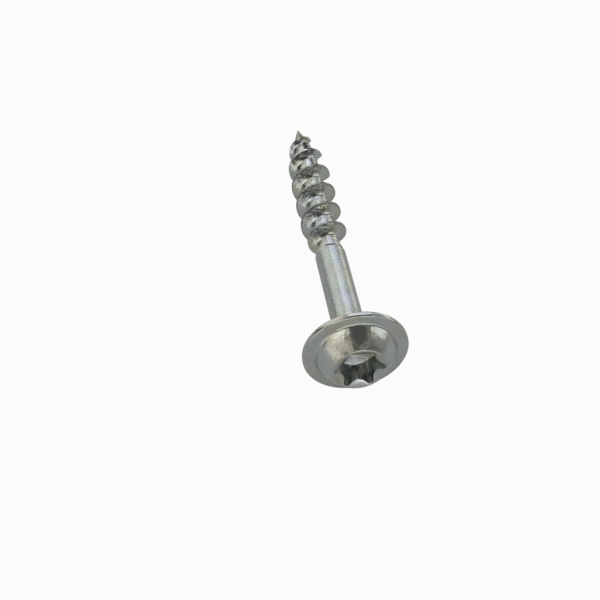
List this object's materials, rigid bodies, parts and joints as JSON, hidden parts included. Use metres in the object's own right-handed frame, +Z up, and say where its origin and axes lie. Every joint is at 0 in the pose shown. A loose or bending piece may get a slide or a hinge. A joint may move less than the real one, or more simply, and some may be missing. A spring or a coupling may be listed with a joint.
{
  "type": "pocket hole screw",
  "caption": "Pocket hole wood screw with a flat washer head, six-lobe drive socket, plain shank, coarse thread and a slotted self-drilling point.",
  "frame": {"origin": "on the floor under the middle of the screw's outline, as it lies at rest", "axes": "+X along the floor towards the point, +Z up. The screw's own axis lies in the XZ plane and leans 6.05 degrees down towards the point, because the screw rests on its flange and on a thread crest"},
  "size_m": [0.0346, 0.0094, 0.0093],
  "materials": {
    "zinc_plated_steel": "bright zinc plating, glossy with fine drawing and rolling marks"
  },
  "bodies": {
    "root": {"screw": "zinc_plated_steel"}
  },
  "joints": []
}
